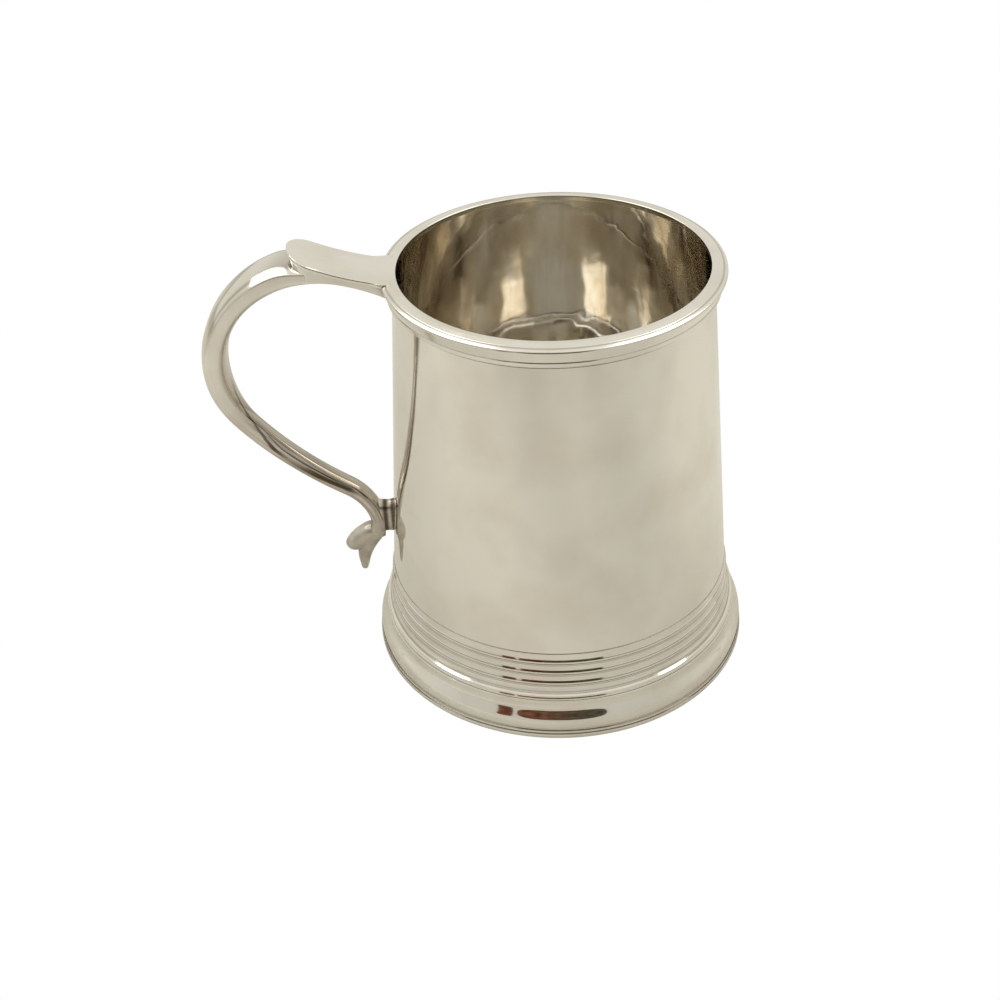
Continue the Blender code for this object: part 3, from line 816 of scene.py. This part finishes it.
class WireOperator(bpy.types.Operator):
    """Models the round-edged wire that the foot stands on"""

    bl_idname = "mesh.tankard_wire"
    bl_label = "Base wire"

    def execute(self, context):
        foot = foot_sizes()
        outer = foot.wire
        inner = outer - foot.wire_width
        top = foot.wire_height
        upper_step = ((-0.55, 0, 0.08), (-0.5, -0.35, 0.08), (-0.56, -0.5, 0.04), (-0.32, -0.62, 0.1))
        middle = ((-0.24, -1.0, 0.25), (-0.26, -1.35, 0.08), (-0.36, -1.47, 0.04))
        corners = [
            (inner, top, 0.2 * MM),
            *corners_at(outer, top, *upper_step, *middle, (-0.14, -1.62, 0.1), (0, -2.05, 0.4)),
            *corners_at(outer, 0, (0, 0.3, 0.3), (-0.25, 0, 0.2)),
            (inner, 0, 0.3 * MM),
        ]
        wire = turn_on_lathe("base_wire", softened(corners, steps=6, hold=0.05 * MM))
        finish_silver(wire, "foot_wire", "wire", lines=lines_at(top, (-0.52, 0.26, 0.9), (-1.48, 0.26, 0.9)))
        return {"FINISHED"}


def in_metres(sections):
    """Sections as SECTIONS explains them, with their widths and thicknesses turned from millimetres."""
    return [(width * MM, thick * MM, *shape) for width, thick, *shape in sections]


# Turns of the points round a closed section
ROUND = [math.tau * (k / ROUND_STEPS - 0.75) for k in range(ROUND_STEPS)]

# Shares of the handle's length, and the section there: width, thickness, squareness of its back and of its
# finger side, and the crown of its back. It is square under the thumb rest and nearly oval on the lower arm.
SECTION_PLACES = (0.14, 0.21, 0.36, 0.48, 0.62, 1.0)
SECTIONS = in_metres(
    (
        (14.4, 4.4, 9.0, 5.0, 0.22),
        (14.4, 6.3, 9.0, 5.0, 0.25),
        (12.6, 6.5, 6.0, 4.0, 0.24),
        (11.0, 6.5, 3.4, 3.2, 0.14),
        (5.8, 5.9, 2.5, 2.4, 0.0),
        (6.0, 4.3, 2.6, 2.5, 0.0),
    )
)


def eased_through(places, rows, place):
    """The columns of the rows at this place, on smooth curves that never overshoot."""
    place = min(max(place, places[0]), places[-1])
    i = 0
    while i < len(places) - 2 and place > places[i + 1]:
        i += 1

    def rise(column, k):
        return (rows[k + 1][column] - rows[k][column]) / (places[k + 1] - places[k])

    def slope(column, k):
        if k == 0 or k == len(places) - 1:
            return 0.0
        before, after = rise(column, k - 1), rise(column, k)
        return 2 * before * after / (before + after) if before * after > 0 else 0.0

    span = places[i + 1] - places[i]
    t = (place - places[i]) / span
    values = []
    for column in range(len(rows[0])):
        a, b = rows[i][column], rows[i + 1][column]
        m, n = slope(column, i) * span, slope(column, i + 1) * span
        values.append(a + (b - a) * (3 - 2 * t) * t * t + m * t * (1 - t) ** 2 - n * t * t * (1 - t))
    return values


def ring_point(section, turn):
    """A point of a section, (across, out), at this turn from its middle. Its finger side lies at out 0."""
    width, thick, back, front, crown = section
    power = 2 / (back if math.sin(turn) > 0 else front)
    across = math.copysign(abs(math.cos(turn)) ** power, math.cos(turn))
    out = math.copysign(abs(math.sin(turn)) ** power, math.sin(turn))
    top = thick * (1 - crown * across * across) if out > 0 else thick
    return Vector((across * width / 2, thick / 2 + (top - thick / 2) * out))


def seam_turn(section, strip):
    """The turn, below 0, at which the strip's outer face cuts the section."""
    return -math.asin((1 - 2 * strip / section[1]) ** (section[3] / 2))


def handle_path():
    """The finger side of the handle, carried on along the inner side of its tail."""
    points = finger_face()
    heel = points[-1]
    along = heel - points[-2]
    arcs = ((9 * MM, 50), (20 * MM, -25), (60 * MM, 4))
    tail = arc_chain(math.degrees(math.atan2(along.y, along.x)), arcs, BAR_STEPS)
    return points + [heel + point for point in tail[1:]], path_length(points)


def model_handle_bar(name, node, begin, side, steps):
    """Models a piece of the handle from begin to the heel, over the back where side is 1, and round the
    finger side where it is -1. Each ring goes from one seam to the other in so many steps."""
    points, whole = handle_path()
    stations = []
    for i in range(BAR_STEPS + 1):
        along = begin + (whole - begin) * i / BAR_STEPS
        section = eased_through(SECTION_PLACES, SECTIONS, along / whole)
        seam = seam_turn(section, handle_sizes().strip)
        turns = [seam + (side * math.pi - 2 * seam) * k / steps for k in range(steps + 1)]
        stations.append((along, [ring_point(section, turn) for turn in turns]))
    bar = shape_bar(name, stations, turns)
    bend_bar(bar, points)
    finish_bar(bar)
    finish_silver(bar, node, "handle", streaks=True, toning=0.12, dull=0.05)


class HandleBackOperator(bpy.types.Operator):
    """Models the outer part of the hollow handle: crisp edges at the thumb rest, and a round lower arm"""

    bl_idname = "mesh.tankard_handle_back"
    bl_label = "Back of the handle"

    def execute(self, context):
        points = finger_face()
        reach = body_sizes().lip + handle_sizes().wedge - 0.8 * MM
        start = next(i for i, point in enumerate(points) if point.x > reach)
        model_handle_bar("handle_back", "handle_channel", path_length(points[: start + 1]), 1, steps=63)
        return {"FINISHED"}


class FingerStripOperator(bpy.types.Operator):
    """Models the strip that closes the handle on the finger side, rounded towards the fingers"""

    bl_idname = "mesh.tankard_finger_strip"
    bl_label = "Finger strip"

    def execute(self, context):
        run_in = 2.4 * MM
        model_handle_bar("finger_side_strip", "handle_finger_strip", -run_in, -1, steps=31)
        return {"FINISHED"}


def plate_height(out):
    """Height of the thumb rest's top, which rises in a curve from the rim."""
    rise = max(0.0, out)
    return body_sizes().height + 0.187 * rise + 7.1 * rise * rise


class ThumbRestOperator(bpy.types.Operator):
    """Models the thumb rest: a thin rising plate with a rounded tip, over a wedge down to the finger strip"""

    bl_idname = "mesh.tankard_thumb_rest"
    bl_label = "Thumb rest"

    def execute(self, context):
        body, handle = body_sizes(), handle_sizes()
        tip = 5.5 * MM
        corner = 0.42
        rounded = [(-0.5, 0, corner), (0.5, 0, corner), (0.5, 1, corner), (-0.5, 1, corner)]
        thick = handle.plate_thickness
        # The section is drawn in real size, because its corners are round only there
        full = handle.top_width + 0.3 * MM
        section = softened([(x * full, y * thick, r * thick) for x, y, r in rounded], steps=6, hold=0.1 * MM)
        section = [Vector((point.x / full, point.y / thick)) for point in section]
        begin = -3 * MM
        outs = [begin + (handle.plate - tip - begin) * i / 30 for i in range(31)]
        outs += [handle.plate - tip + tip * math.sin(math.radians(angle)) for angle in range(4, 88, 4)]

        def tip_width(out):
            into_tip = max(0.0, out - (handle.plate - tip)) / tip
            return full * math.sqrt(max(0.0, 1 - into_tip * into_tip))

        # The plate flares where it is soldered to the rim
        flare, flare_length = 1.6 * MM, 2.4 * MM
        stations = []
        for out in outs:
            spread = max(0.0, 1 - max(out, 0) / flare_length) ** 2 * flare
            drop = 0.03 * MM if out < 0 else 0
            rise = plate_height(out) - thick - drop
            stations.append((body.lip + out, rise, tip_width(out) + spread, thick))
        plate = draw_bar("thumb_plate", section, stations)
        points = finger_face()

        def strip_height(reach):
            for before, after in zip(points, points[1:]):
                if before.x <= reach <= after.x:
                    share = (reach - before.x) / (after.x - before.x)
                    return before.y + (after.y - before.y) * share + handle.strip
            along = points[1] - points[0]
            return points[0].y + (reach - points[0].x) * along.y / along.x + handle.strip

        slant, run_in = 3.6 * MM, 1.6 * MM
        stations = []
        for i in range(41):
            out = -run_in + (handle.wedge + slant + run_in) * i / 40
            reach = body.lip + out
            under = plate_height(out) - thick * 0.5
            foot = strip_height(reach) - 0.1 * MM
            share = min(1.0, max(0.0, (out - handle.wedge) / slant))
            foot += (under - 0.1 * MM - foot) * share
            wide = min(handle.top_width + 0.02 * MM, tip_width(out) - 0.2 * MM)
            stations.append((reach, foot, wide, under - foot))
        square = [Vector(corner) for corner in ((-0.5, 0), (0.5, 0), (0.5, 1), (-0.5, 1))]
        wedge = draw_bar("thumb_wedge", square, stations)
        pick(plate, wedge)
        bpy.ops.object.join()
        finish_bar(plate)
        finish_silver(plate, "thumb_rest", "thumb_rest", reach=2 * MM, open_share=0.9)
        return {"FINISHED"}


class StrutOperator(bpy.types.Operator):
    """Models the short upright strut between the drum and the heel of the handle"""

    bl_idname = "mesh.tankard_strut"
    bl_label = "Heel strut"

    def execute(self, context):
        handle = handle_sizes()
        half, tall = handle.strut_width / 2, handle.strut_tall / 2
        section = []
        for turn in (math.tau * i / ROUND_STEPS for i in range(ROUND_STEPS)):
            across, up = math.cos(turn), math.sin(turn)
            section.append(Vector((across * half, up * half + math.copysign(tall - half, up))))
        wall = drum_radius(handle.heel_height)
        waist = wall + 1.2 * MM
        begin, end = wall - 0.6 * MM, wall + handle.strut_length + 2.6 * MM
        stations = []
        for i in range(33):
            x = begin + (end - begin) * i / 32
            off = (x - waist) / (end - waist) if x > waist else (waist - x) / (waist - begin)
            stations.append((x, handle.heel_height, 0.92 + 0.14 * off**2, 1.18 + 0.13 * off**2))
        strut = draw_bar("heel_strut_column", section, stations)
        finish_bar(strut)
        # Painted shade: two broad dark lines where the strut meets the drum and the heel, and heavy brown
        # toning, for the dark crevice that it mirrors between drum and handle
        shadows = lines_at(AXIS_X - wall, (-0.1, 0.85, 0.9), (-2.15, 1.0, 0.93))
        look = {"lines": shadows, "axis": "X", "toning": 0.6, "dull": 0.22}
        finish_silver(strut, "heel_strut", "strut", reach=2 * MM, open_share=0.9, **look)
        return {"FINISHED"}


class TailOperator(bpy.types.Operator):
    """Models the cast tail of the handle, a lobe over a tapering spur"""

    bl_idname = "mesh.tankard_tail"
    bl_label = "Cast tail"

    def execute(self, context):
        points, whole = handle_path()
        heel = finger_face()[-1]
        spur_length = 20.2 * MM
        places = [place * MM for place in (0, 4, 9, 13.5, 16.6, 19, 20.2)]
        rows = (
            (6.0, 4.6, 2.6, 2.5, 0.0),
            (5.8, 4.8, 3.0, 2.8, 0.0),
            (5.0, 4.2, 3.0, 2.8, 0.0),
            (4.2, 3.1, 2.8, 2.6, 0.0),
            (3.2, 2.2, 2.5, 2.5, 0.0),
            (2.9, 2.0, 2.3, 2.3, 0.0),
        )
        stations = self.tapered(places, [SECTIONS[-1], *in_metres(rows)], spur_length, 1.5 * MM, whole)
        spur = shape_bar("scroll_tail", stations, ROUND)
        bend_bar(spur, points)
        spots = ((1.6, -4.2), (4.6, -5.6), (7.4, -7.6), (10.0, -8.8), (12.0, -9.1))
        middle = smooth_through([heel + Vector(spot) * MM for spot in spots], 8)
        lobe_length = path_length(middle)
        places = [share * lobe_length for share in (0, 0.3, 0.55, 0.8, 1.0)]
        widths = ((5.4, 5.0), (5.7, 6.2), (5.6, 6.4), (5.2, 4.8), (4.6, 3.8))
        sections = in_metres([(*size, 2.4, 2.4, 0.0) for size in widths])
        stations = self.tapered(places, sections, lobe_length, 2.4 * MM, 0)
        lobe = shape_bar("tail_lobe", stations, [0.0] * ROUND_STEPS)
        for vertex in lobe.data.vertices:
            vertex.co.z -= eased_through(places, sections, vertex.co.x)[1] / 2
        bend_bar(lobe, middle)
        apply_modifier(spur, "BOOLEAN", operation="UNION", solver="EXACT", object=lobe)
        bpy.data.objects.remove(lobe, do_unlink=True)
        finish_bar(spur)
        finish_silver(spur, "handle_terminal", "tail", reach=3 * MM, open_share=0.95, toning=0.85, dull=0.24)
        return {"FINISHED"}

    def tapered(self, places, sections, end, tip, start):
        """Stations of a bar from start, whose last part, as long as the tip, rounds off to a point."""
        steps = 70
        stations = []
        for i in range(steps):
            # The steps shorten towards the end, where the outline turns most
            along = end * (1 - (1 - i / steps) ** 1.6)
            section = list(eased_through(places, sections, along))
            into = max(0.0, along - (end - tip)) / tip
            shrink = math.sqrt(max(0.0004, 1 - into * into))
            centre = section[1] / 2
            ring = [ring_point(section, turn) for turn in ROUND]
            ring = [Vector((p.x * shrink, centre + (p.y - centre) * shrink)) for p in ring]
            stations.append((start + along, ring))
        return stations


# Stage: the camera is fitted to the photo, and the openings and lamps stand where the silver mirrors them

CAMERA_PLACE = (4.77 * MM, -339.68 * MM, 286.07 * MM)
CAMERA_TURN = (54.2130, 2.1778, -1.3751)
CAMERA_LENS = 54.217

# Name, left edge and right edge. All stand at one depth and height.
OPENINGS = (("opening_left", -0.302, -0.215), ("opening_right", -0.197, 0.196))
OPENING_DEPTH = -0.42
OPENING_MIDDLE = 0.1875
OPENING_TALL = 0.225

# Name, side, front edge and back edge
LAMPS = (("lamp_left", -1, -0.12, 0.30), ("lamp_right", 1, -0.13, 0.20))
LAMP_REACH = 0.29
LAMP_HEIGHT = 0.47
LAMP_WIDTH = 0.34
LAMP_POWER = 2.0


def stand(name, data, place, turn):
    """Puts a lamp or the camera in the scene, and gives its object."""
    holder = bpy.data.objects.new(name, data)
    bpy.context.scene.collection.objects.link(holder)
    holder.location = place
    holder.rotation_euler = turn
    return holder


class StageOperator(bpy.types.Operator):
    """Sets up the light tent: a pale table, two soft lamps, the openings at the front and the camera"""

    bl_idname = "scene.tankard_stage"
    bl_label = "Light tent and camera"

    def execute(self, context):
        scene = context.scene
        colours = finish_colours()
        clear_selection()
        bpy.ops.mesh.primitive_plane_add(size=6.0, location=(0, 0, 0))
        table = context.object
        table.name = "table_top"
        table.data.materials.append(self.table_paint(colours))
        for name, left, right in OPENINGS:
            self.opening(name, left, right, colours)
        for name, side, front, back in LAMPS:
            lamp = bpy.data.lights.new(name, "AREA")
            lamp.shape = "RECTANGLE"
            lamp.size = back - front
            lamp.size_y = LAMP_WIDTH
            lamp.energy = LAMP_POWER * lamp.size
            lamp.color = (1.0, 0.98, 0.93)
            place = Vector((AXIS_X + side * LAMP_REACH, mid(front, back), LAMP_HEIGHT))
            aim = Vector((AXIS_X, mid(front, back), 0.03)) - place
            holder = stand(name, lamp, place, aim.to_track_quat("-Z", "Y").to_euler())
            holder.visible_camera = False
        scene.world = self.tent(colours)
        camera = bpy.data.cameras.new("camera")
        camera.sensor_width = 36
        camera.lens = CAMERA_LENS
        camera.clip_start = 0.01
        camera.clip_end = 20
        turn = [math.radians(angle) for angle in CAMERA_TURN]
        scene.camera = stand("camera", camera, CAMERA_PLACE, turn)
        scene.view_settings.view_transform = "Standard"
        # Light meets the inside of the cup many times before it leaves
        scene.cycles.glossy_bounces = 12
        return {"FINISHED"}

    def opening(self, name, left, right, colours):
        """A dark card past the camera, with rounded corners, which only the silver sees."""
        clear_selection()
        place = (mid(left, right), OPENING_DEPTH, OPENING_MIDDLE)
        bpy.ops.mesh.primitive_plane_add(size=1, location=place)
        card = bpy.context.object
        card.name = name
        card.scale = (right - left, OPENING_TALL, 1)
        card.rotation_euler = (math.radians(90), 0, 0)
        settle()
        select_mesh()
        bpy.ops.mesh.bevel(offset=0.3 * (right - left), segments=8, affect="VERTICES")
        bpy.ops.object.mode_set(mode="OBJECT")
        material, nodes = new_material(name)
        place = nodes.place()
        share = nodes.ramp(nodes.along(place, "X"), -0.15, 0.1)
        wall = nodes.painted(colours.room, colours.room_right, share)
        level = nodes.ramp(nodes.noise(place, 1 / 26, 2.0), 0.3, 0.7, 0.5, 1.5)
        glow = nodes.add("Emission", {"Color": wall, "Strength": level})
        nodes.add("OutputMaterial", {"Surface": glow.outputs[0]})
        card.data.materials.append(material)
        card.visible_camera = False
        card.visible_shadow = False

    def table_paint(self, colours):
        """Matt white paper with soft shadows, which the silver mirrors as smudges. The camera sees it as the
        plain white background."""
        material, nodes = new_material("matt_white_paper")
        shifted = nodes.mapped(nodes.place(), Location=(-0.1, 0.03, 0.0))
        shade = nodes.ramp(nodes.noise(shifted, 240 * MM, 1.5, 0.4), 0.45, 0.7)
        tone = nodes.painted(colours.floor, colours.floor_shade, shade)
        nodes.seen_white(nodes.add("BsdfDiffuse", {"Color": tone}), "Emission", "OutputMaterial")
        return material

    def tent(self, colours):
        """The white cloth of the tent, darker towards its front and lightest overhead. The camera sees plain
        white."""
        world = bpy.data.worlds.new("light_tent")
        nodes = Nodes(world)
        direction = nodes.place("Generated")
        depth = nodes.ramp(nodes.along(direction, "Y"), -0.5, 0.3, 0.6, 0.76)
        overhead = nodes.ramp(nodes.along(direction, "Z"), 0.6, 0.85)
        level = nodes.add("Mix", {0: overhead, 2: depth, 3: 0.8}).outputs[0]
        cloth = nodes.add("Background", {"Color": colours.cloth, "Strength": level})
        nodes.seen_white(cloth, "Background", "OutputWorld")
        return world


PIECES = (
    DrumOperator,
    BaseOperator,
    RimOperator,
    BandOperator,
    FootOperator,
    WireOperator,
    HandleBackOperator,
    FingerStripOperator,
    ThumbRestOperator,
    StrutOperator,
    TailOperator,
    StageOperator,
)
GROUPS = {
    "tankard_body": TankardBodySizes,
    "tankard_foot": TankardFootSizes,
    "tankard_handle": TankardHandleSizes,
    "tankard_finish": TankardFinish,
}


class TankardPanel(bpy.types.Panel):
    """Sizes, colours and pieces of the tankard"""

    bl_idname = "VIEW3D_PT_tankard"
    bl_label = "Silver tankard"
    bl_space_type = "VIEW_3D"
    bl_region_type = "UI"
    bl_category = "Tankard"

    def draw(self, context):
        for name in GROUPS:
            box = self.layout.box()
            group = getattr(context.scene, name)
            for key in group.__annotations__:
                box.prop(group, key)
        column = self.layout.column()
        for piece in PIECES:
            column.operator(piece.bl_idname)


def register():
    for name, group in GROUPS.items():
        bpy.utils.register_class(group)
        setattr(bpy.types.Scene, name, bpy.props.PointerProperty(type=group))
    for piece in PIECES:
        bpy.utils.register_class(piece)
    bpy.utils.register_class(TankardPanel)


def unregister():
    bpy.utils.unregister_class(TankardPanel)
    for piece in reversed(PIECES):
        bpy.utils.unregister_class(piece)
    for name, group in GROUPS.items():
        delattr(bpy.types.Scene, name)
        bpy.utils.unregister_class(group)


def main():
    register()
    for piece in PIECES:
        group, action = piece.bl_idname.split(".")
        getattr(getattr(bpy.ops, group), action)()
    clear_selection()


if __name__ == "__main__":
    main()
